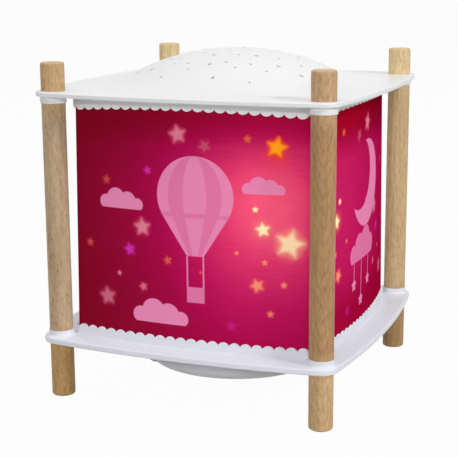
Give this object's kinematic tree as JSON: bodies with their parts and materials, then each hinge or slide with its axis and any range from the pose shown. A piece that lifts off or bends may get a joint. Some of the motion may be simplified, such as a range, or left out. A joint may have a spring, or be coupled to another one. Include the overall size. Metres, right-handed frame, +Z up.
{
  "type": "night light",
  "caption": "Square lantern night light: wooden posts, domed star-pierced lid, scalloped base tray, printed screen and a motor-turned star drum lit from inside.",
  "frame": {"origin": "on the surface that the posts stand on, under the middle of the lantern", "axes": "+Z up along the posts; -Y is the screen face that the picture shows widest"},
  "size_m": [0.181, 0.181, 0.1906],
  "materials": {
    "white_plastic": "satin gloss moulded white plastic",
    "housing_plastic": "moulded pale grey-white plastic",
    "beech": "plain beech dowel, smooth and unvarnished",
    "screen_film": "printed translucent film, matt",
    "screw_steel": "zinc plated steel",
    "motor_can": "drawn metal can",
    "foam": "adhesive foam pad",
    "battery_wrap": "shrink wrap round a flat cell",
    "circuit_board": "solder mask over glass laminate",
    "black_plastic": "moulded black plastic",
    "socket_metal": "stamped plated shell",
    "nylon": "natural moulded nylon",
    "led_lens": "phosphor filled resin",
    "milky_plastic": "milky translucent plastic",
    "lead_jacket": "soft insulated lead",
    "drum_film": "clear film printed with stars"
  },
  "bodies": {
    "root": {"post_front_left": "beech", "post_front_right": "beech", "post_back_right": "beech", "post_back_left": "beech", "base_tray": "white_plastic", "lid": "white_plastic", "picture_screen": "screen_film", "base_housing": "housing_plastic", "housing_screws": "screw_steel", "gear_motor": "motor_can", "motor_screws": "screw_steel", "battery_pad": "foam", "battery_pack": "battery_wrap", "control_board": "circuit_board", "board_components": "black_plastic", "board_screws": "screw_steel", "charging_socket": "socket_metal", "switch_body": "black_plastic", "lamp_mast": "nylon", "mast_screws": "screw_steel", "thrust_washer": "nylon", "retaining_clip": "screw_steel", "led_board": "circuit_board", "leds": "led_lens", "led_screws": "screw_steel", "lamp_diffuser": "milky_plastic", "lamp_lead": "lead_jacket", "motor_lead": "lead_jacket", "battery_lead": "lead_jacket"},
    "drum": {"turntable": "nylon", "star_drum": "drum_film", "drum_top_ring": "nylon"},
    "pinion": {"drive_pinion": "nylon", "motor_shaft": "screw_steel"},
    "switch": {"switch_knob": "housing_plastic"}
  },
  "joints": [
    {"name": "drum_spin", "type": "hinge", "parent": "root", "child": "drum", "pos_m": [0, 0, 0.042], "axis": [0, 0, 1], "continuous": true},
    {"name": "pinion_spin", "type": "hinge", "parent": "root", "child": "pinion", "pos_m": [0, 0.032, 0.04], "axis": [0, 0, 1], "continuous": true},
    {"name": "switch_slide", "type": "slide", "parent": "root", "child": "switch", "axis": [0.788, -0.6157, 0], "range_m": [-0.002, 0.002]}
  ],
  "couplings": [
    {"joint": "pinion_spin", "follows": "drum_spin", "ratio": -4}
  ]
}
